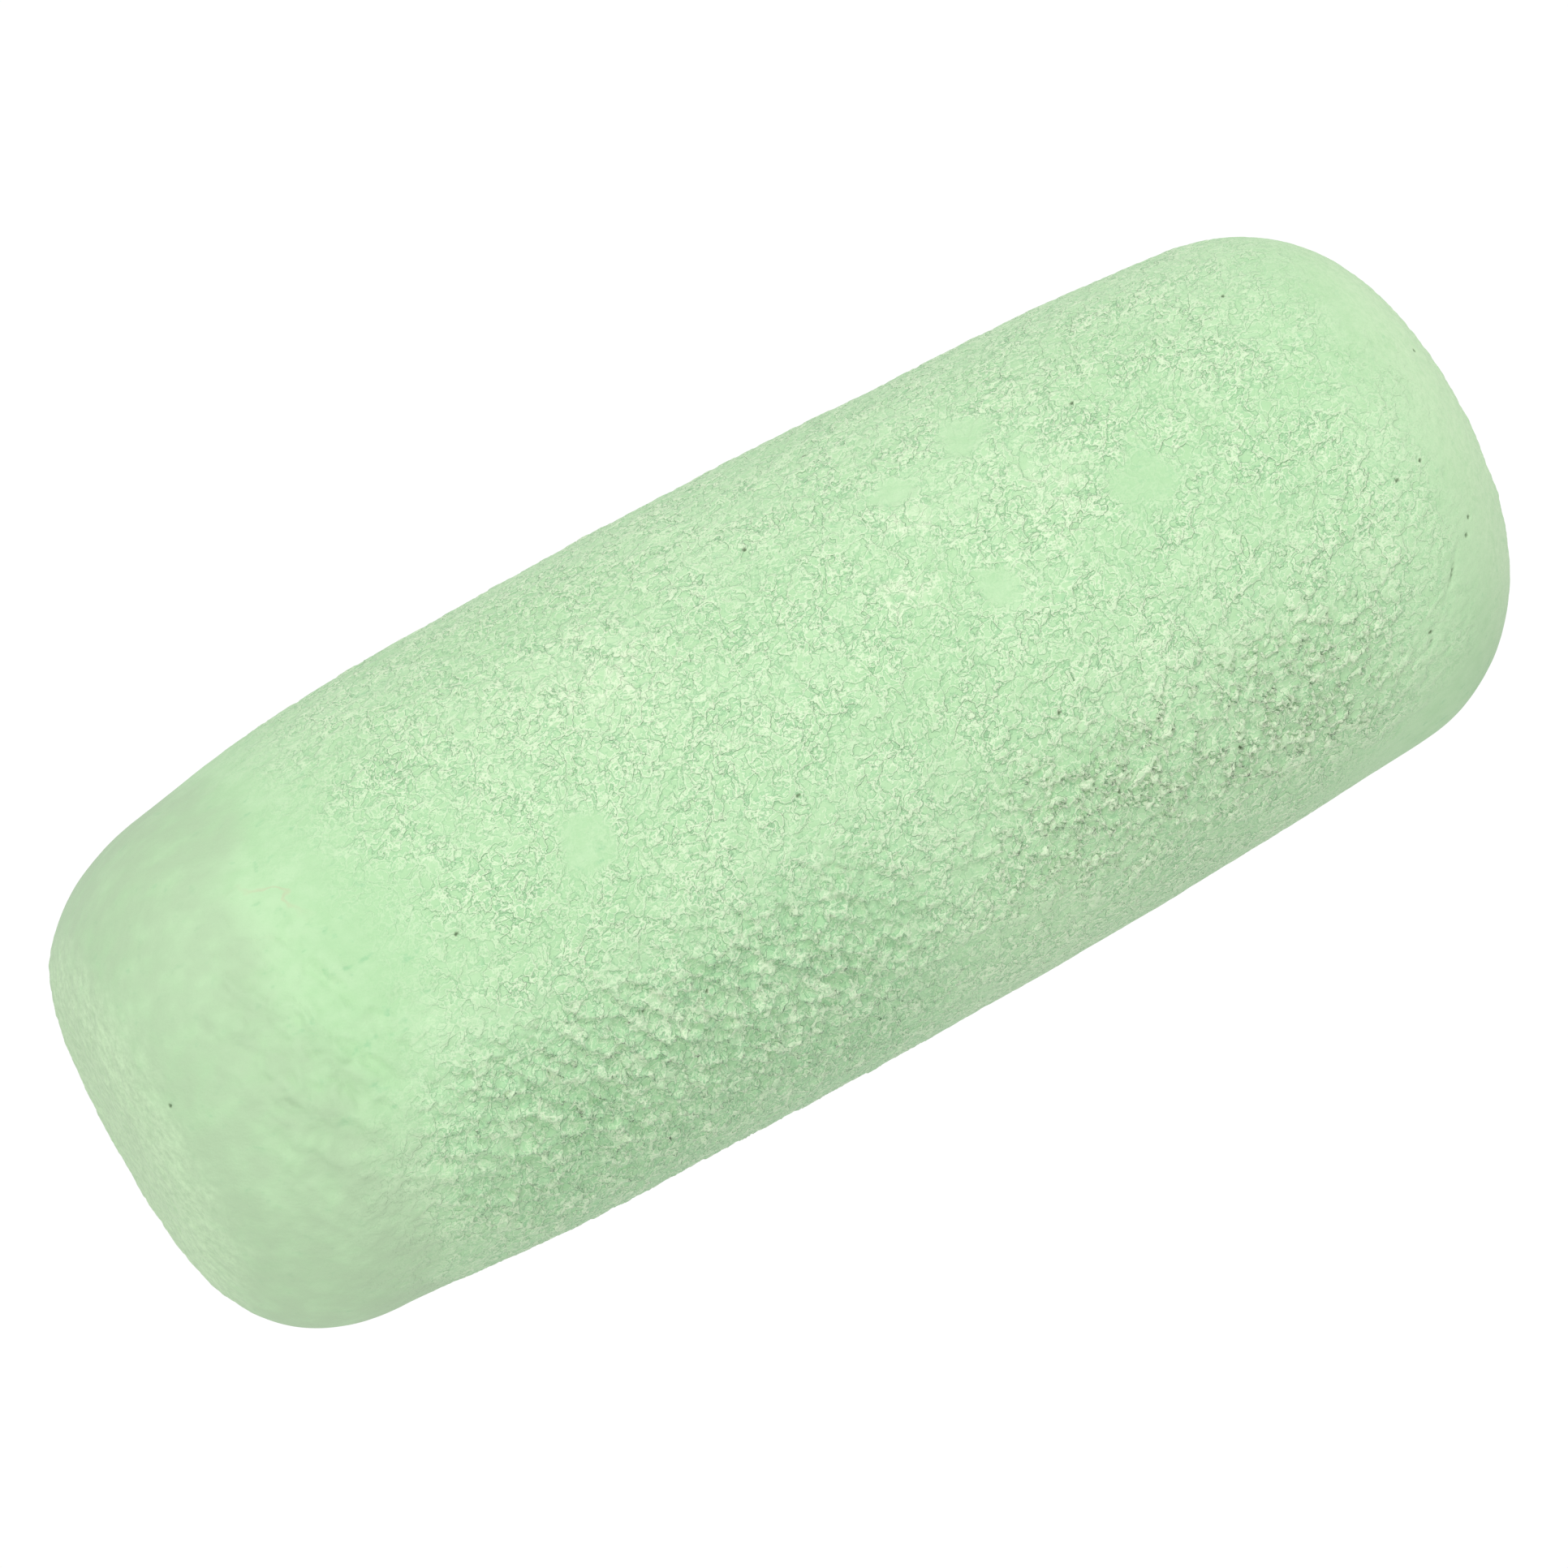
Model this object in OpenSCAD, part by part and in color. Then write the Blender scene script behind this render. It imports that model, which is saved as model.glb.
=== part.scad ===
// Chunky cast chalk crayon: one solid barrel-shaped stick with rounded, flat-tipped ends.
// It lies along X on the plane Z = 0, on the side that was pressed a little flat as it dried.
// The two ends are alike, and the origin is on that plane, under the middle of the stick.

/* [Stick] */
// Length from one end flat to the other
length = 68; // [50:1:90]
// Diameter at the belly, the thickest place
belly_d = 27; // [26:0.5:32]
// Length of the straight stretch in the middle of the belly
grip_len = 14; // [4:1:30]
// How far the underside is flattened, which lets the stick lie still
dried_flat = 0.3; // [0.2:0.05:1]

/* [Ends] */
// Radius of the rounded corner between the side and the end flat
corner_r = 8; // [4:0.5:8.5]
// Diameter of the flat at each tip
tip_d = 9; // [2:0.5:10]

/* [Model] */
// Facets around a full circle
facets = 160; // [48:8:240]

/* [Hidden] */
$fn = facets;
belly_r = belly_d / 2;
tip_r = tip_d / 2;
half_len = length / 2;
half_grip = grip_len / 2;

// Height of the stick's own axis above the plane it lies on
axis_z = belly_r - dried_flat;

// The corner arc is centred corner_r inside the end flat, level with the flat's edge.
corner_x = half_len - corner_r;

// The side is one long arc. It leaves the straight grip without a kink and runs into the
// corner arc without one, which leaves a single possible radius.
run = corner_x - half_grip;
drop = belly_r - tip_r;
side_r = (run * run + drop * drop - corner_r * corner_r) / (2 * (drop - corner_r));

// Distance from the middle of the stick at which the side arc hands over to the corner arc
side_slope = asin(run / (side_r - corner_r));
join_x = corner_x + corner_r * sin(side_slope);

chalk_green = [0.72, 0.90, 0.70];

// Part of a disc of radius r centred at [cx, cy], kept inside the window [x0, y0] to [x1, y1]
module arc_piece(r, cx, cy, x0, y0, x1, y1) {
    intersection() {
        translate([cx, cy]) circle(r = r, $fn = r > 40 ? 12 * facets : facets);
        translate([x0, y0]) square([x1 - x0, y1 - y0]);
    }
}

// Outline of half the stick: its radius along the first axis, the distance from its middle
// along the second
module half_outline() {
    square([belly_r, half_grip]);
    square([tip_r, half_len]);
    arc_piece(side_r, belly_r - side_r, half_grip, 0, half_grip, belly_r + 1, join_x);
    arc_piece(corner_r, tip_r, corner_x, tip_r, join_x, belly_r + 1, half_len + 1);
}

// The stick as a full round, about the X axis
module round_stick() {
    rotate([0, 90, 0])
        rotate_extrude() {
            half_outline();
            mirror([0, 1]) half_outline();
        }
}

module chalk_stick() {
    color(chalk_green)
        difference() {
            translate([0, 0, axis_z]) round_stick();
            translate([-length, -belly_d, -belly_d]) cube([2 * length, 2 * belly_d, belly_d]);
        }
}

chalk_stick();
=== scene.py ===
# A chunky crayon of cast green chalk lies on a white table under a soft overhead light.
import math
import bpy
import numpy as np
from mathutils import Matrix, Vector


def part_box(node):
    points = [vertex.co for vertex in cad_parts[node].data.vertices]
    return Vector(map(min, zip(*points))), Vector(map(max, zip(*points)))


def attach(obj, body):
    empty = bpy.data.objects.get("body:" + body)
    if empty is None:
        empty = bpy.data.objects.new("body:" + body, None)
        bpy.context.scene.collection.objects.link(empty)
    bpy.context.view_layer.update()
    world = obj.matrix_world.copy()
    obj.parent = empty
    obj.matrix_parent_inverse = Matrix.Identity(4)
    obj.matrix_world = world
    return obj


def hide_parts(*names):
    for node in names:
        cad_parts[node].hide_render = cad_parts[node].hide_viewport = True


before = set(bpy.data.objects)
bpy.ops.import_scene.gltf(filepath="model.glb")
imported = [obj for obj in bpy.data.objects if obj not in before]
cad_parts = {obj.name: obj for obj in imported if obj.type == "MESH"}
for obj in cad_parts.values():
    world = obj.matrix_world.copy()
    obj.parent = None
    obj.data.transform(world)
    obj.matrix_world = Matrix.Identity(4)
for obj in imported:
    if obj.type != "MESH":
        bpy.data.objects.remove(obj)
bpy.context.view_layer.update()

MM = 0.001
NODE_LOW, NODE_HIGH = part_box("chalk_stick")

# Outline of the stick, in mm: the same arcs as the CAD part
HALF_LEN = (NODE_HIGH[0] - NODE_LOW[0]) / 2 / MM
BELLY_R = (NODE_HIGH[1] - NODE_LOW[1]) / 2 / MM
AXIS_Z = NODE_HIGH[2] / MM - BELLY_R
HALF_GRIP = 7.0
CORNER_R = 8.0
TIP_R = 4.5
RUN = HALF_LEN - CORNER_R - HALF_GRIP
DROP = BELLY_R - TIP_R
SIDE_R = (RUN ** 2 + DROP ** 2 - CORNER_R ** 2) / (2 * (DROP - CORNER_R))
SIDE_SLOPE = math.asin(RUN / (SIDE_R - CORNER_R))

SPACING = 0.125          # between mesh points, mm
TIP_SKIN = 12.0          # of each end, mm along the skin, laid out as a disc
SHEET = 89.0             # width of the flat layout, mm
SHEET_EDGE = 0.02        # blank edge of the layout, as a part of its width
LEFT_DISC_U, RIGHT_DISC_U, DISC_V = 0.17, 0.50, 0.862   # where the two discs lie on it


# ---------------------------------------------------------------- noise

def hashed(cell, seed):
    """A repeatable whole number for each lattice cell."""
    i, j, k = (cell[..., n].astype(np.int64).astype(np.uint32) for n in range(3))
    h = i * np.uint32(374761393) ^ j * np.uint32(668265263) ^ k * np.uint32(2246822519)
    h ^= np.uint32(seed * 7919 + 12345)
    h = (h ^ (h >> np.uint32(15))) * np.uint32(2246822519)
    h = (h ^ (h >> np.uint32(13))) * np.uint32(3266489917)
    return h ^ (h >> np.uint32(16))


dice = np.random.default_rng(7)
SLOPES = dice.normal(size=(256, 3))
SLOPES = (SLOPES / np.linalg.norm(SLOPES, axis=1, keepdims=True)).astype(np.float32)


def noise(p, size, seed):
    """Smooth noise from about -1 to 1 with lumps of this size. The seed only picks the pattern."""
    q = p / size + seed * 13.7
    cell = np.floor(q)
    f = (q - cell).astype(np.float32)
    w = f * f * f * (f * (f * 6 - 15) + 10)
    total = np.zeros(len(p), np.float32)
    for corner in range(8):
        o = np.array([corner & 1, corner >> 1 & 1, corner >> 2], np.float32)
        slope = SLOPES[hashed(cell + o, seed) & np.uint32(255)]
        part = ((f - o) * slope).sum(1)
        weight = np.where(o, w, 1 - w)
        total += part * weight[:, 0] * weight[:, 1] * weight[:, 2]
    return total * 1.6


def rough(p, size, seed, octaves=3, keep=0.5):
    """Several layers of noise, each half the size of the last."""
    total, height = 0, 1.0
    for n in range(octaves):
        total = total + noise(p, size / 2 ** n, seed + n) * height
        height *= keep
    return total


def push(p, size, seed):
    """Three noises side by side, to move points about."""
    return np.stack([noise(p, size, seed + n) for n in range(3)], 1)


def cells(p, size, seed):
    """Irregular cells: (gap to the nearest border, offset from the cell's centre, random 0..1)."""
    q = p / size + seed * 5.1
    base = np.floor(q)
    first = np.full(len(p), 9.0, np.float32)
    second = first.copy()
    offset = np.zeros((len(p), 3), np.float32)
    pick = np.zeros(len(p), np.float32)
    for n in range(27):
        cell = base + np.array([n % 3 - 1, n // 3 % 3 - 1, n // 9 - 1])
        h = hashed(cell, seed)
        spot = np.stack([h & 1023, h >> np.uint32(10) & 1023, h >> np.uint32(20) & 1023], 1)
        away = (q - cell - spot / 1023.0).astype(np.float32)
        d = np.sqrt((away ** 2).sum(1))
        near = d < first
        second = np.where(near, first, np.minimum(second, d))
        first = np.where(near, d, first)
        offset[near] = away[near]
        pick[near] = (h[near] >> np.uint32(5) & 255) / 255.0
    return second - first, offset, pick


def step(low, high, v):
    """0 below low, 1 above high, smooth between."""
    t = np.clip((v - low) / (high - low), 0, 1)
    return t * t * (3 - 2 * t)


# ---------------------------------------------------------------- shape of the stick

def outline(t):
    """Distance along the stick, radius and slope angle, t mm along the skin from the middle."""
    side = np.clip((t - HALF_GRIP) / SIDE_R, 0, SIDE_SLOPE)
    corner_start = HALF_GRIP + SIDE_R * SIDE_SLOPE
    turn = np.clip((t - corner_start) / CORNER_R, 0, math.pi / 2 - SIDE_SLOPE)
    flat = np.clip(t - corner_start - CORNER_R * (math.pi / 2 - SIDE_SLOPE), 0, TIP_R)
    x = np.minimum(t, HALF_GRIP) + SIDE_R * np.sin(side)
    x = x + CORNER_R * (np.sin(SIDE_SLOPE + turn) - math.sin(SIDE_SLOPE))
    r = BELLY_R - SIDE_R * (1 - np.cos(side)) - flat
    r = r - CORNER_R * (math.cos(SIDE_SLOPE) - np.cos(SIDE_SLOPE + turn))
    return x, r, side + turn


HALF_SKIN = (HALF_GRIP + SIDE_R * SIDE_SLOPE + CORNER_R * (math.pi / 2 - SIDE_SLOPE) + TIP_R)


class Skin:
    """Points of the smooth stick: rings from the left tip to the right one, in mm from the axis."""

    def __init__(self):
        self.rings = int(2 * HALF_SKIN / SPACING)
        self.around = int(2 * math.pi * BELLY_R / SPACING)
        t = (np.arange(self.rings) + 0.5) / self.rings * 2 - 1
        t = t * HALF_SKIN
        x, r, lean = outline(np.abs(t))
        turn = np.arange(self.around) / self.around * 2 * math.pi - math.pi
        ring, angle = np.meshgrid(np.arange(self.rings), turn, indexing="ij")
        self.t = t[ring].ravel()
        self.x = (np.sign(t) * x)[ring].ravel()
        r = r[ring].ravel()
        self.angle = np.degrees(angle.ravel())
        sin, cos = np.sin(angle.ravel()), np.cos(angle.ravel())
        self.p = np.stack([self.x, r * sin, r * cos], 1)
        along = (np.sign(t) * np.sin(lean))[ring].ravel()
        out = np.cos(lean)[ring].ravel()
        self.n = np.stack([along, out * sin, out * cos], 1)

    def near(self, x, angle, radius):
        """1 at a place on the skin, fading out over this radius. The angle is from top to back."""
        r = float(np.interp(abs(x), *outline(np.linspace(0, HALF_SKIN, 400))[:2]))
        a = math.radians(angle)
        spot = np.array([x, r * math.sin(a), r * math.cos(a)])
        return np.exp(-((self.p - spot) ** 2).sum(1) / radius ** 2)


# Where the skin is left smooth: (mm along, degrees from the top to the back, radius)
SMOOTH = [(17.5, -2, 2.0), (12.3, 24, 1.4), (7.8, 19, 1.2), (9.7, -8, 1.2), (-11.8, -13, 1.6)]
# Clumps of pale crust
PALE = [(14.2, 4, 1.4), (5.9, 0, 1.1), (-6.8, 12, 1.9), (19.7, 2, 0.5), (7.9, 12, 1.1)]
# Pin holes: (mm along, degrees from the top to the back)
PITS = [(-32.5, -18), (-18.6, -16), (-33.7, 22), (1.2, 25), (-10, -49), (16.4, -60), (9.3, -34),
        (-2.7, -24), (-12.9, -46), (10.4, -54), (6.3, 43), (26.7, -61), (27.9, -27), (17.1, 19),
        (29.4, -26), (30.6, -44), (30.1, -47), (32.5, 0), (26, 28), (12, 160), (-8, 120),
        (22, 100), (-27, 150)]
PIT_R = 0.11
# A hairline crack on the right shoulder, from one place to the other
CRACK = ((29.2, -48), (25.8, -68))
CRACK_R = 0.15

# Heights of the relief, in mm
FLAKE, SMALL_FLAKE = 0.085, 0.045
SCALE_RIM, SCALE_BOWL, SCALE_TILT, SCALE_STEP = 0.10, 0.16, 0.26, 0.05
CRUMB, CRUMB_LUMPS = 0.22, 0.10
GRAIN_BARE, GRAIN_FLAKY = 0.006, 0.017
WIDE_SWELL, SMALL_SWELL = 0.04, 0.02
FOLD, TIP_LINES, PIT_DEPTH = 0.33, 0.06, 0.12

# Where the whole stick is a little fuller or hollower than a true round:
# (mm along, degrees, radius, height in mm)
FULLER = [(-31.2, -99, 4.3, 0.5), (-26.5, -105, 3.5, -0.08), (-33.5, -112, 3.0, 0.05),
          (-28.5, 66, 5.0, -0.55), (-33.0, 72, 2.5, 0.1),
          (-11, -100, 4.5, -0.2), (13, 62, 6.0, -0.24), (14, -100, 6.0, -0.12),
          (28, -106, 4.0, 0.18), (27, 60, 6.0, -0.08), (30, 40, 5.0, 0.12)]


def spots(skin, places):
    """1 at each of these places, fading out over its radius."""
    total = np.zeros(len(skin.x))
    for x, angle, radius in places:
        total = np.maximum(total, skin.near(x, angle, radius))
    return total


def bell(v, middle, width):
    """1 where v is in the middle, fading to 0 on both sides."""
    return np.exp(-((v - middle) / width) ** 2)


def slanted(skin, degrees, stretch):
    """Skin coordinates drawn out along a slanted direction, in mm."""
    round_way = np.radians(skin.angle) * BELLY_R
    c, s = math.cos(math.radians(degrees)), math.sin(math.radians(degrees))
    return np.stack([(skin.x * c + round_way * s) / stretch, round_way * c - skin.x * s,
                     0 * skin.x], 1)


def zones(skin):
    """Which parts of the skin are flaky at all, covered, scaled or crumbly: each from 0 to 1."""
    p, x, a = skin.p, skin.x, skin.angle
    wander = noise(p, 5.0, 3) + 0.6 * noise(p, 1.5, 5)
    low_side = step(-28, -58, a) * step(-150, -120, a)
    left_end = x + 20.5 + 5.0 * low_side + 1.2 * wander
    right_end = 29.0 - 2 * step(-25, -70, a) - 5 * step(-72, -90, a) - x + 1.5 * wander
    flaky = step(-4.5, 4.0, left_end) * step(-4.0, 4.0, right_end)
    smooth = step(0.3, 0.8, spots(skin, SMOOTH) + 0.35 * noise(p, 1.5, 11))
    cover = flaky * (1 - 0.8 * smooth)
    scaled_side = step(-27, -46, a) * step(-145, -122, a) + 0.7 * bell(a, 130, 30)
    scales = scaled_side * step(-26, -20, x + 2 * wander) * step(7, -4, x + 3 * wander) * cover
    near_crumbs = step(-30, -50, a) * step(-86, -62, a) * step(-2, 9, x) * step(28, 21, x)
    far_crumbs = 0.8 * bell(a, 150, 25) * step(-20, 0, x)
    crumbs = np.maximum(near_crumbs, far_crumbs) * cover
    return flaky, cover, scales, crumbs * (1 - scales)


def scale_cells(skin, warp):
    """The overlapping scales: (gap to the border, offset from the centre, random 0..1)."""
    torn = push(skin.p, 0.3, 30) * [0.18, 0.18, 0]
    gap, off, pick = cells(slanted(skin, -50, 1.7) + warp * [0.7, 0.7, 0] + torn, 0.74, 3)
    return gap - 0.13 * noise(skin.p, 1.1, 76), off, pick


def crust(skin, warp, gap, scales, crumbs):
    """Torn crust: above 0 where it stands up, below 0 in between."""
    coarse = rough(skin.p + warp, 0.95, 50, 3, 0.65) - 0.05
    drips = step(12, 18, skin.x) * step(0, 15, skin.angle)
    coarse += drips * (rough(slanted(skin, 61, 2.0) + warp, 0.75, 65, 3, 0.65) - coarse)
    worm = 0.11 - np.abs(rough(slanted(skin, -35, 1.3) + warp, 0.85, 74, 3, 0.6))
    chipped = np.maximum((0.05 - gap) * 3.0, worm * 2.4 - 0.12)
    coarse += scales * (chipped - 0.75 * coarse)
    coarse += crumbs * (worm * 3.0 - 0.6 * coarse)
    return coarse


def folds(skin, warp, flaky):
    """Soft folds on the left shoulder."""
    fold = rough(slanted(skin, -72, 3.0) + 0.4 * warp, 0.95, 91, 3)
    fold = fold * skin.near(-26.2, -22, 7.0) * step(-31.0, -28.0, skin.x)
    return FOLD * fold * (1 - 0.7 * flaky)


def tip_lines(skin):
    """Fine lines on both tips, drawn out round the rim."""
    lines = rough(skin.p * [1.0, 0.6, 0.8], 0.7, 92, 3, 0.7)
    return TIP_LINES * lines * step(31.5, 33.6, np.abs(skin.x))


def holes(skin):
    """1 in the pin holes, less along the crack, 0 elsewhere."""
    pit = np.zeros(len(skin.x))
    for x, angle in PITS:
        pit = np.maximum(pit, skin.near(x, angle, PIT_R))
    faint = 0.35 + 0.5 * noise(skin.p, 0.8, 98)
    for along in np.linspace(0, 1, 22):
        x, angle = ((1 - along) * CRACK[0][n] + along * CRACK[1][n] for n in range(2))
        pit = np.maximum(pit, skin.near(x, angle, CRACK_R) * faint)
    return pit


def stains(skin):
    """Where the skin is dusty, brushed pale at the tips (over the right end also a painted
    highlight), or marked brown.
    """
    p, x, a = skin.p, skin.x, skin.angle
    lower = step(-20, -50, a) * step(-150, -120, a)
    upper = step(5, 35, a) * step(150, 120, a)
    left_tip = step(-31.7, -33.8, x + 0.4 * rough(p, 1.2, 99, 3))
    # tip: brushed streaks on the left tip, and over the whole right end a painted highlight as well
    return {"dusty": step(-25.3, -27.8, x - 2.3 * upper - 1.5 * lower + rough(p, 3.0, 95)),
            "tip": left_tip + step(28.5, 32.5, x),
            "smudge": skin.near(-24.6, 9, 1.2)}


def relief(skin):
    """Height of the cast skin over the smooth stick, in mm, and what its colours follow."""
    p = skin.p
    flaky, cover, scales, crumbs = zones(skin)
    warp = push(p, 0.9, 20) * 0.45
    patch = (0.62 + 0.38 * step(-0.6, 0.4, rough(p, 2.2, 44, 3))) * cover
    patch = np.maximum(patch, np.maximum(scales, crumbs))
    gap, off, pick = scale_cells(skin, warp)
    coarse = crust(skin, warp, gap, scales, crumbs)
    fine = rough(p + warp * 0.6, 0.5, 56, 2, 0.7)
    ledge = step(-0.15, 0.15, coarse)

    plain = np.clip(patch - scales - crumbs, 0, 1)
    bumps = plain * (FLAKE * ledge + SMALL_FLAKE * step(-0.1, 0.1, fine))
    bowl = np.clip(1 - (off ** 2).sum(1) / 0.5, 0, 1)
    scale = SCALE_RIM * step(0.26, 0.0, gap) - SCALE_BOWL * bowl - SCALE_TILT * off[:, 1]
    bumps += scales * (scale + SCALE_STEP * (pick - 0.5))
    bumps += crumbs * (CRUMB * ledge + CRUMB_LUMPS * rough(p + warp, 1.0, 78, 3, 0.7))
    bumps += noise(p, 0.3, 80) * (GRAIN_BARE + GRAIN_FLAKY * cover)
    worn = 0.5 * bell(skin.angle, 62, 20) + 0.8 * bell(skin.angle, -105, 22)

    pit = holes(skin)
    h = WIDE_SWELL * rough(p, 9.0, 60, 2) + SMALL_SWELL * rough(p, 3.0, 62, 3)
    h += bumps * (1 - worn) + folds(skin, warp, flaky) + tip_lines(skin) - PIT_DEPTH * pit

    clump = 1.2 * spots(skin, PALE) * step(-0.1, 0.4, rough(p + 0.3 * warp, 0.7, 63, 3, 0.7))
    pale = clump + 0.7 * crumbs * ledge + 0.5 * scales * step(0.10, 0.02, gap)
    # carved also sets how much painted shade darkens the scaled and crumbly zones
    carved = np.maximum(scales, crumbs * 0.3)
    return h, {"coarse": coarse, "fine": fine, "patch": patch, "pale": np.clip(pale, 0, 1),
               "pit": pit, "carved": carved, **stains(skin)}


# ---------------------------------------------------------------- mesh

def flat_layout(skin):
    """Each face corner's place on a flat square sheet: the body as a strip, each tip as a disc."""
    n = skin.around
    t = skin.t[::n]
    i, j = np.meshgrid(np.arange(skin.rings - 1), np.arange(n), indexing="ij")
    ring = np.stack([i, i + 1, i + 1, i], -1)
    column = np.stack([j, j, j + 1, j + 1], -1)
    place = strip_place(t[ring], column / n)
    for side in (-1, 1):
        on_tip = side * (t[i] + t[i + 1]) / 2 > HALF_SKIN - TIP_SKIN
        place[on_tip] = disc_place(side, t[ring[on_tip]], column[on_tip] / n)
    places = [place.reshape(-1, 2)]
    for side in (-1, 1):
        j = np.arange(n)
        ends = np.stack([j, j, j + 1] if side < 0 else [j + 1, j + 1, j], -1) / n
        rim = t[0 if side < 0 else -1]
        fan_t = np.tile([HALF_SKIN * side, rim, rim], (n, 1))
        places.append(disc_place(side, fan_t, ends).reshape(-1, 2))
    return np.concatenate(places).astype(np.float32)


def strip_place(t, turn):
    """Place of the body's skin on the sheet. turn runs from 0 to 1 round the stick."""
    u = SHEET_EDGE + (1 - turn) * 2 * math.pi * BELLY_R / SHEET
    return np.stack([u, SHEET_EDGE + (t + HALF_SKIN - TIP_SKIN) / SHEET], -1)


def disc_place(side, t, turn):
    """Place of a tip's skin on the sheet: side is -1 for the left tip and 1 for the right."""
    away = (HALF_SKIN - np.abs(t)) / SHEET
    turn = turn * 2 * math.pi - math.pi
    across = LEFT_DISC_U if side < 0 else RIGHT_DISC_U
    return np.stack([across + side * away * np.sin(turn), DISC_V + away * np.cos(turn)], -1)


def stick_mesh():
    """The closed skin: rings of four-sided faces, and a fan of triangles at each tip."""
    skin = Skin()
    h, marks = relief(skin)
    for x, angle, radius, height in FULLER:
        h = h + height * skin.near(x, angle, radius)
    p = skin.p + skin.n * h[:, None]
    p[:, 2] = np.maximum(p[:, 2] + AXIS_Z, 0.0)
    tips = np.array([[-HALF_LEN, 0, AXIS_Z], [HALF_LEN, 0, AXIS_Z]])
    verts = np.concatenate([p, tips]) * MM

    m, n = skin.rings, skin.around
    i = np.arange(m - 1)[:, None] * n
    j = np.arange(n)[None, :]
    k = (j + 1) % n
    quads = np.stack([i + j, i + n + j, i + n + k, i + k], -1).reshape(-1, 4)
    left = np.stack([np.full(n, m * n), j[0], k[0]], 1)
    right = np.stack([np.full(n, m * n + 1), (m - 1) * n + k[0], (m - 1) * n + j[0]], 1)
    corners = np.concatenate([quads.ravel(), left.ravel(), right.ravel()]).astype(np.int32)
    sizes = np.concatenate([np.full(len(quads), 4), np.full(2 * n, 3)])
    starts = np.concatenate([[0], sizes.cumsum()[:-1]]).astype(np.int32)

    mesh = bpy.data.meshes.new("chalk_stick_skin")
    mesh.vertices.add(len(verts))
    mesh.vertices.foreach_set("co", verts.astype(np.float32).ravel())
    mesh.loops.add(len(corners))
    mesh.loops.foreach_set("vertex_index", corners)
    mesh.polygons.add(len(sizes))
    mesh.polygons.foreach_set("loop_start", starts)
    mesh.update(calc_edges=True)
    mesh.shade_smooth()
    mesh.uv_layers.new(name="OFBake").data.foreach_set("uv", flat_layout(skin).ravel())
    for name, v in marks.items():
        layer = mesh.attributes.new(name, "FLOAT", "POINT")
        layer.data.foreach_set("value", np.concatenate([v, v[:1], v[-1:]]).astype(np.float32))
    return mesh


# ---------------------------------------------------------------- chalk material

CHALK_DARK, CHALK_LIGHT = (0.475, 0.735, 0.425, 1), (0.540, 0.785, 0.480, 1)
PALE_GREEN = (0.78, 0.92, 0.66, 1)
# painted shade colour for the crust's feet and the carved hollows, also the colour of the chalk's
# own darker specks
SHADE_AND_SPECK_GREEN = (0.33, 0.63, 0.35, 1)
# painted shade colour for the insides of the pin holes and the crack
PIT_SHADE = (0.18, 0.27, 0.15, 1)
DUSTY_GREEN = (0.465, 0.635, 0.41, 1)
TIP_STREAK_AND_HIGHLIGHT_GREEN = (0.63, 0.845, 0.545, 1)
# brushed streaks on the tips, and a painted highlight over the right end
TAN = (0.60, 0.55, 0.38, 1)
STREAKS_PER_M = 4200
GRAIN_HEIGHT = 0.000042


class Nodes:
    """A node tree built by short calls."""

    def __init__(self, material):
        material.use_nodes = True
        self.tree = material.node_tree
        self.shader = self.tree.nodes["Principled BSDF"]

    def put(self, kind, **inputs):
        node = self.tree.nodes.new(kind)
        for name, value in inputs.items():
            self.feed(node.inputs[name], value)
        return node

    def feed(self, socket, value):
        if isinstance(value, bpy.types.NodeSocket):
            self.tree.links.new(value, socket)
        else:
            socket.default_value = value

    def math(self, operation, a, b=0.0, c=0.0):
        node = self.tree.nodes.new("ShaderNodeMath")
        node.operation = operation
        for n, value in enumerate((a, b, c)):
            self.feed(node.inputs[n], value)
        return node.outputs[0]

    def times(self, a, b):
        return self.math("MULTIPLY", a, b)

    def add(self, a, b, amount):
        """a and this much of b."""
        return self.math("ADD", a, self.times(b, amount))

    def most(self, a, b):
        return self.math("MAXIMUM", a, b)

    def mix(self, amount, a, b):
        node = self.tree.nodes.new("ShaderNodeMix")
        node.data_type = "RGBA"
        self.feed(node.inputs["Factor"], amount)
        self.feed(node.inputs["A"], a)
        self.feed(node.inputs["B"], b)
        return node.outputs["Result"]

    def mark(self, name):
        node = self.tree.nodes.new("ShaderNodeAttribute")
        node.attribute_name = name
        return node.outputs["Fac"]

    def band(self, value, middle, width):
        """1 where the value is in the middle, 0 beyond this width."""
        off = self.math("ABSOLUTE", self.math("SUBTRACT", value, middle))
        return self.ramp(off, width, 0.0)

    def ramp(self, value, low, high):
        """0 at low, 1 at high, smooth between."""
        node = self.tree.nodes.new("ShaderNodeMapRange")
        node.interpolation_type = "SMOOTHSTEP"
        self.feed(node.inputs["Value"], value)
        node.inputs["From Min"].default_value = low
        node.inputs["From Max"].default_value = high
        return node.outputs["Result"]


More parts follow.
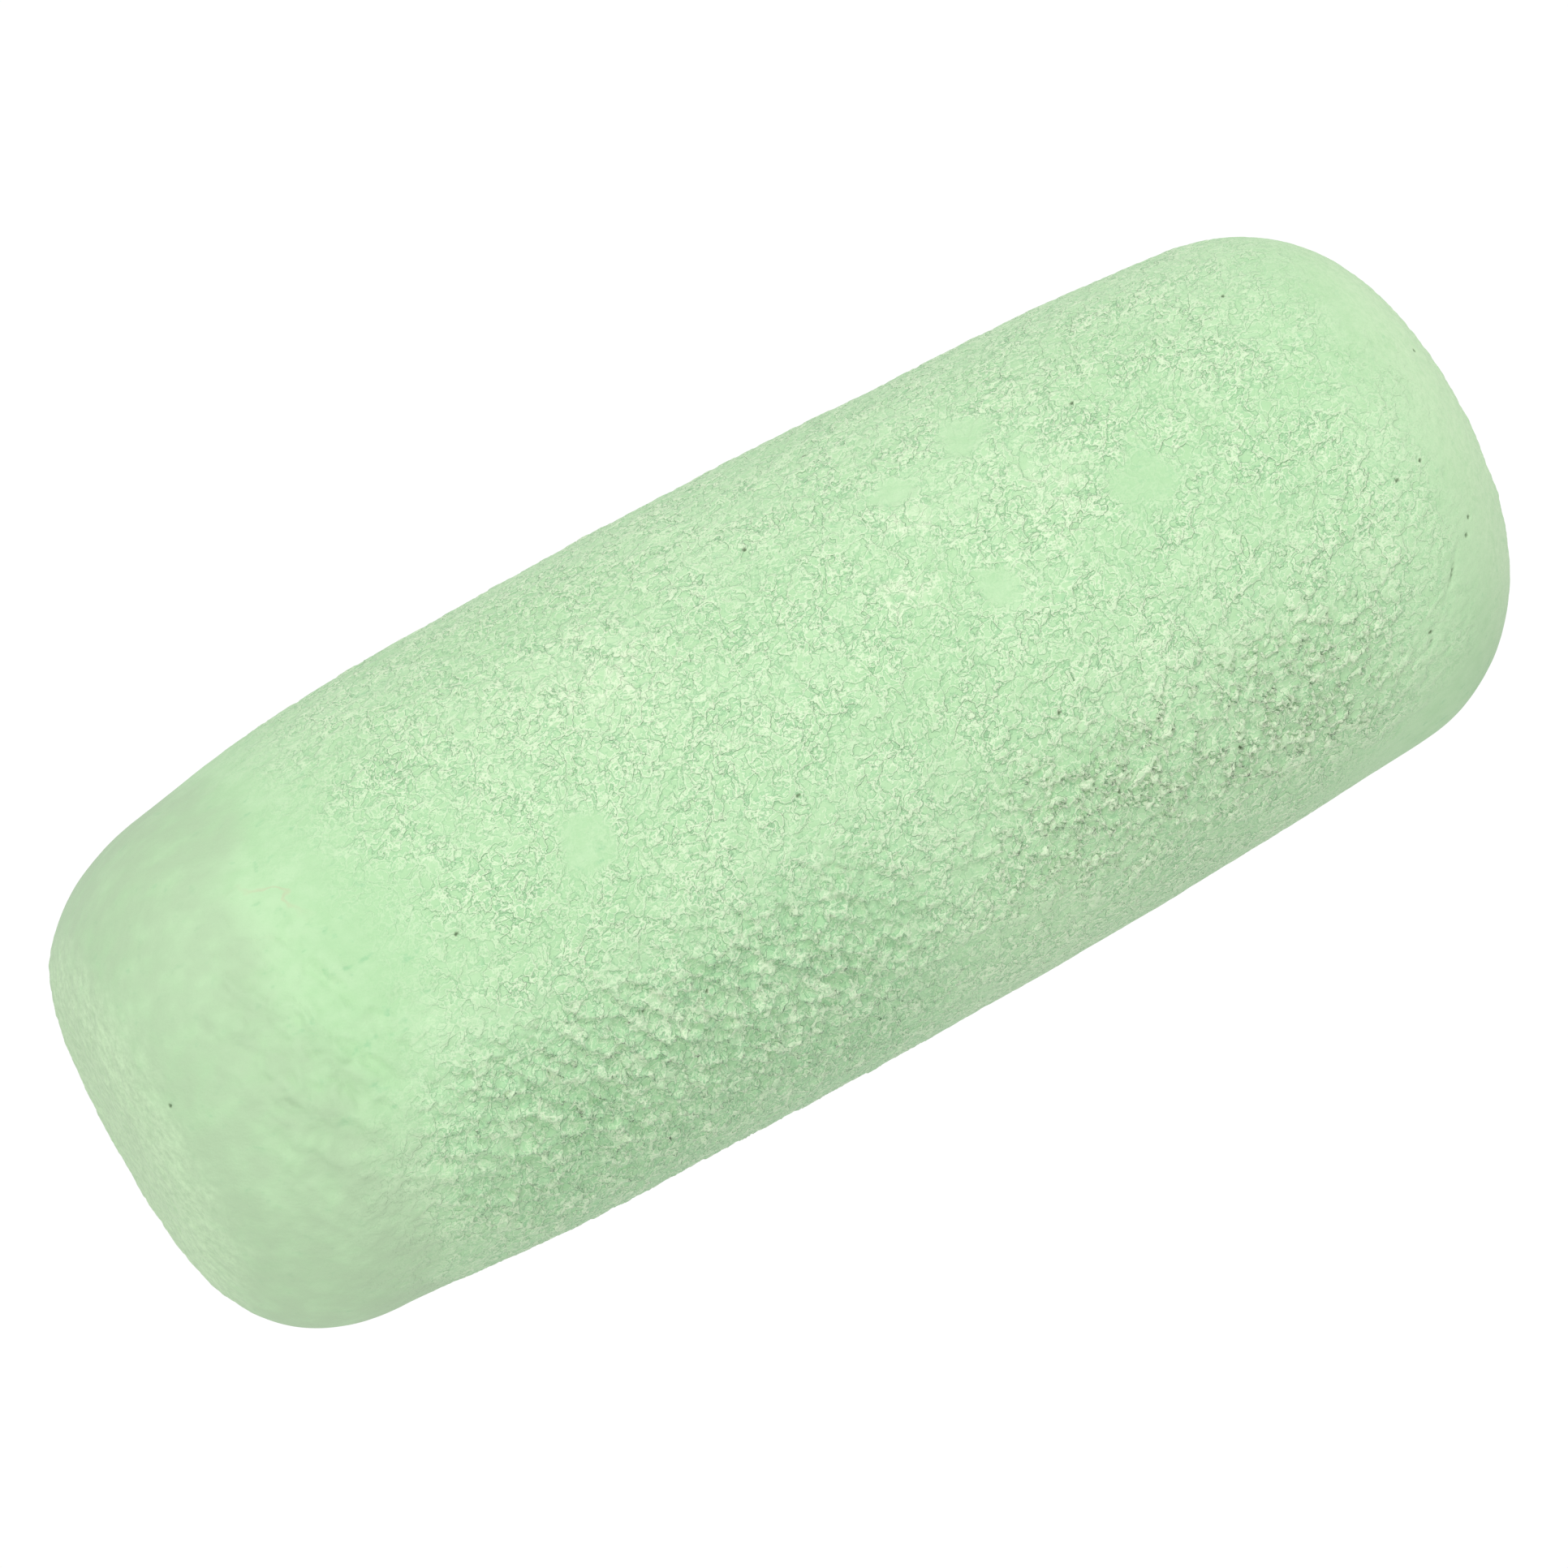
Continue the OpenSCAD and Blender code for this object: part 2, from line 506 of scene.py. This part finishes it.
def chalk():
    """Green chalk. Its colours and its bump follow the marks that the mesh carries."""
    material = bpy.data.materials.new("green_chalk")
    n = Nodes(material)
    where = n.put("ShaderNodeTexCoord").outputs["Object"]
    combed = n.put("ShaderNodeMapping", Vector=where, Rotation=(0, 0, math.radians(30)),
                   Scale=(0.72, 1, 1)).outputs["Vector"]

    def grain(size_mm, detail=2.0):
        """Noise around zero with lumps of this size, drawn out along one direction."""
        node = n.put("ShaderNodeTexNoise", Vector=combed, Scale=1 / (size_mm * MM), Detail=detail)
        return n.math("SUBTRACT", node.outputs["Fac"], 0.5)

    # rims of the crust and painted shade at its feet, in three sizes; fewer small ones where the
    # skin is carved
    ragged, tiny = grain(0.24, 3.0), grain(0.30, 3.0)
    coarse = n.add(n.mark("coarse"), ragged, 1.2)
    fine = n.add(n.mark("fine"), ragged, 1.2)
    patch, carved = n.mark("patch"), n.mark("carved")
    fewer_small = n.math("SUBTRACT", 1.0, n.times(carved, 0.3))
    fewer_large = n.math("SUBTRACT", 1.0, n.times(carved, 0.2))
    small_rims = n.most(n.band(fine, 0.10, 0.11), n.band(tiny, 0.03, 0.03))
    small_foot_shade = n.most(n.band(fine, -0.12, 0.12), n.band(tiny, -0.03, 0.03))
    large_rims = n.times(n.band(coarse, 0.07, 0.10), fewer_large)
    rims = n.most(large_rims, n.times(small_rims, fewer_small))
    foot_shade = n.most(n.band(coarse, -0.13, 0.15), n.times(small_foot_shade, fewer_small))
    rims, foot_shade = n.times(rims, patch), n.times(foot_shade, patch)

    # green, with painted shade at the feet of the crust and over the carved zones, and paler on the
    # rims
    broad = n.ramp(n.add(grain(6.0, 3.0), grain(0.7, 5.0), 0.8), -0.22, 0.22)
    colour = n.mix(broad, CHALK_DARK, CHALK_LIGHT)
    specks = n.times(n.ramp(grain(0.5, 5.0), 0.09, 0.25), 0.6)
    # painted shade: the feet beside the crust steps are darkened where the steps shade them; the
    # specks are the chalk's own darker grains
    colour = n.mix(n.most(n.times(foot_shade, 0.6), specks), colour, SHADE_AND_SPECK_GREEN)
    # painted shade over the carved scaled and crumbly zones, which lie on the shaded lower side
    colour = n.mix(n.times(carved, 0.28), colour, SHADE_AND_SPECK_GREEN)
    pale = n.add(n.times(n.mark("pale"), 0.5), rims, 0.9)
    colour = n.mix(n.math("MINIMUM", pale, 1.0), colour, PALE_GREEN)

    # a dusty veil on the left end, brushed tips with a painted highlight over the right end, a
    # brown mark, and painted shade in the pin holes
    veil = n.times(n.mark("dusty"), n.ramp(grain(1.2, 8.0), -0.5, 0.2))
    colour = n.mix(n.times(veil, 0.85), colour, DUSTY_GREEN)
    brushed = n.put("ShaderNodeMapping", Vector=where, Scale=(1, 0.5, 0.7)).outputs["Vector"]
    streak = n.put("ShaderNodeTexNoise", Vector=brushed, Scale=STREAKS_PER_M,
                   Detail=6.0, Roughness=0.8).outputs["Fac"]
    # the lift of 0.15 under the streaks lightens each tip evenly: over the right end this is a
    # painted highlight
    tip_streaks_and_highlight = n.times(n.mark("tip"), n.math("ADD", n.ramp(streak, 0.34, 0.66), 0.15))
    colour = n.mix(n.math("MINIMUM", tip_streaks_and_highlight, 1.0), colour, TIP_STREAK_AND_HIGHLIGHT_GREEN)
    stain = n.times(n.mark("smudge"), n.band(grain(2.4, 3.0), 0.04, 0.03))
    colour = n.mix(n.times(stain, 0.5), colour, TAN)
    # painted shade in the pin holes and along the crack
    colour = n.mix(n.ramp(n.mark("pit"), 0.2, 0.7), colour, PIT_SHADE)
    n.feed(n.shader.inputs["Base Color"], colour)
    n.shader.inputs["Roughness"].default_value = 0.9
    n.shader.inputs["Specular IOR Level"].default_value = 0.2
    n.shader.inputs["Sheen Weight"].default_value = 0.15

    small = n.math("ADD", n.times(n.ramp(fine, -0.2, 0.0), 0.7),
                   n.times(n.ramp(tiny, -0.06, 0.01), 0.25))
    tall = n.times(n.ramp(coarse, -0.22, 0.0), n.times(patch, fewer_large))
    tall = n.add(tall, n.times(small, fewer_small), patch)
    tall = n.add(n.add(tall, grain(0.12, 2.0), 0.35), grain(0.45, 4.0), 0.9)
    bump = n.put("ShaderNodeBump", Height=tall, Strength=1.0, Distance=GRAIN_HEIGHT)
    n.feed(n.shader.inputs["Normal"], bump.outputs["Normal"])
    return material


# ---------------------------------------------------------------- table, light and camera

WHITE, BLACK = (1, 1, 1, 1), (0, 0, 0, 1)
TABLE_SIZE = 6.0
TABLE_GLOW, TABLE_GLOW_SEEN = 0.64, 0.38      # towards the stick, and added towards the camera
ROOM_LIGHT = 0.77
LAMP_SIZE = 0.22
OVERHEAD_WATTS, OVERHEAD_AT = 0.92, (0.10, 0.12, 0.54)
FILL_WATTS, FILL_AT = 0.50, (-0.42, -0.28, 0.25)

VIEW_TURN, VIEW_HEIGHT = math.radians(-30.66), math.radians(68.0)
VIEW_DISTANCE, VIEW_LENS = 0.3638, 186.3
VIEW_RIGHT, VIEW_UP = -0.000135, -0.00053     # of the aim from the middle of the stick


def table_top():
    """A plain white table that glows evenly, so that it has no shadows."""
    bpy.ops.mesh.primitive_plane_add(size=TABLE_SIZE, location=(0, 0, 0))
    floor = bpy.context.object
    floor.name = "white_table"
    material = bpy.data.materials.new("white_table")
    n = Nodes(material)
    n.shader.inputs["Base Color"].default_value = BLACK
    n.shader.inputs["Specular IOR Level"].default_value = 0.0
    n.shader.inputs["Emission Color"].default_value = WHITE
    seen = n.put("ShaderNodeLightPath").outputs["Is Camera Ray"]
    glow = n.math("MULTIPLY_ADD", seen, TABLE_GLOW_SEEN, TABLE_GLOW)
    n.feed(n.shader.inputs["Emission Strength"], glow)
    floor.data.materials.append(material)


def lamp(name, watts, place):
    """A soft round lamp that points at the middle of the stick."""
    data = bpy.data.lights.new(name, "AREA")
    data.shape = "DISK"
    data.size = LAMP_SIZE
    data.energy = watts
    light = bpy.data.objects.new(name, data)
    bpy.context.scene.collection.objects.link(light)
    light.location = place
    look = Vector((0, 0, 0.013)) - light.location
    light.rotation_euler = look.to_track_quat("-Z", "Y").to_euler()


def soft_light():
    world = bpy.data.worlds.new("studio")
    bpy.context.scene.world = world
    world.use_nodes = True
    sky = world.node_tree.nodes["Background"]
    sky.inputs["Color"].default_value = WHITE
    sky.inputs["Strength"].default_value = ROOM_LIGHT
    lamp("overhead", OVERHEAD_WATTS, OVERHEAD_AT)
    lamp("fill", FILL_WATTS, FILL_AT)


def camera():
    """From above the left end: the stick runs up to the right and its right tip is farther."""
    right = Vector((math.cos(VIEW_TURN), math.sin(VIEW_TURN), 0))
    back = Vector((math.sin(VIEW_TURN) * math.cos(VIEW_HEIGHT),
                   -math.cos(VIEW_TURN) * math.cos(VIEW_HEIGHT), math.sin(VIEW_HEIGHT)))
    up = back.cross(right)
    aim = Vector((0, 0, AXIS_Z * MM)) + right * VIEW_RIGHT + up * VIEW_UP
    data = bpy.data.cameras.new("view")
    data.lens = VIEW_LENS
    data.sensor_width = 36.0
    data.dof.use_dof = False
    data.clip_start, data.clip_end = 0.01, 20.0
    view = bpy.data.objects.new("view", data)
    bpy.context.scene.collection.objects.link(view)
    axes = Matrix((right, up, back)).transposed().to_4x4()
    view.matrix_world = Matrix.Translation(aim + back * VIEW_DISTANCE) @ axes
    bpy.context.scene.camera = view


# ---------------------------------------------------------------- build

stick = bpy.data.objects.new("chalk_stick_skin", stick_mesh())
bpy.context.scene.collection.objects.link(stick)
stick.data.materials.append(chalk())
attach(stick, "root")
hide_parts("chalk_stick")

table_top()
soft_light()
camera()
bpy.context.scene.view_settings.view_transform = "Standard"
